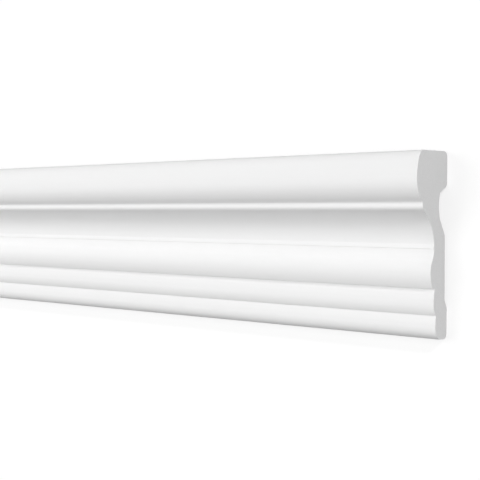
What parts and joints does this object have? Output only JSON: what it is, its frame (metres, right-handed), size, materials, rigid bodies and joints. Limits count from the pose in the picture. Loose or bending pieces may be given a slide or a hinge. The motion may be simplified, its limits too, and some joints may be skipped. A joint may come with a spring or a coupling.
{
  "type": "wall moulding",
  "caption": "Straight length of white wall moulding with a flattened torus edge, narrow flat, cove, ogee, bead and reed across its face, and a relieved back with flat lands.",
  "frame": {"origin": "middle of the length and of the face height, on the plane of the two back lands", "axes": "+X along the stock, +Y up the face as hung, towards the torus edge, +Z out from the wall, up as it lies"},
  "size_m": [2, 0.09, 0.0252],
  "materials": {
    "primed_foam": "white rigid foam with a smooth satin primer"
  },
  "bodies": {
    "root": {"moulding": "primed_foam"}
  },
  "joints": []
}
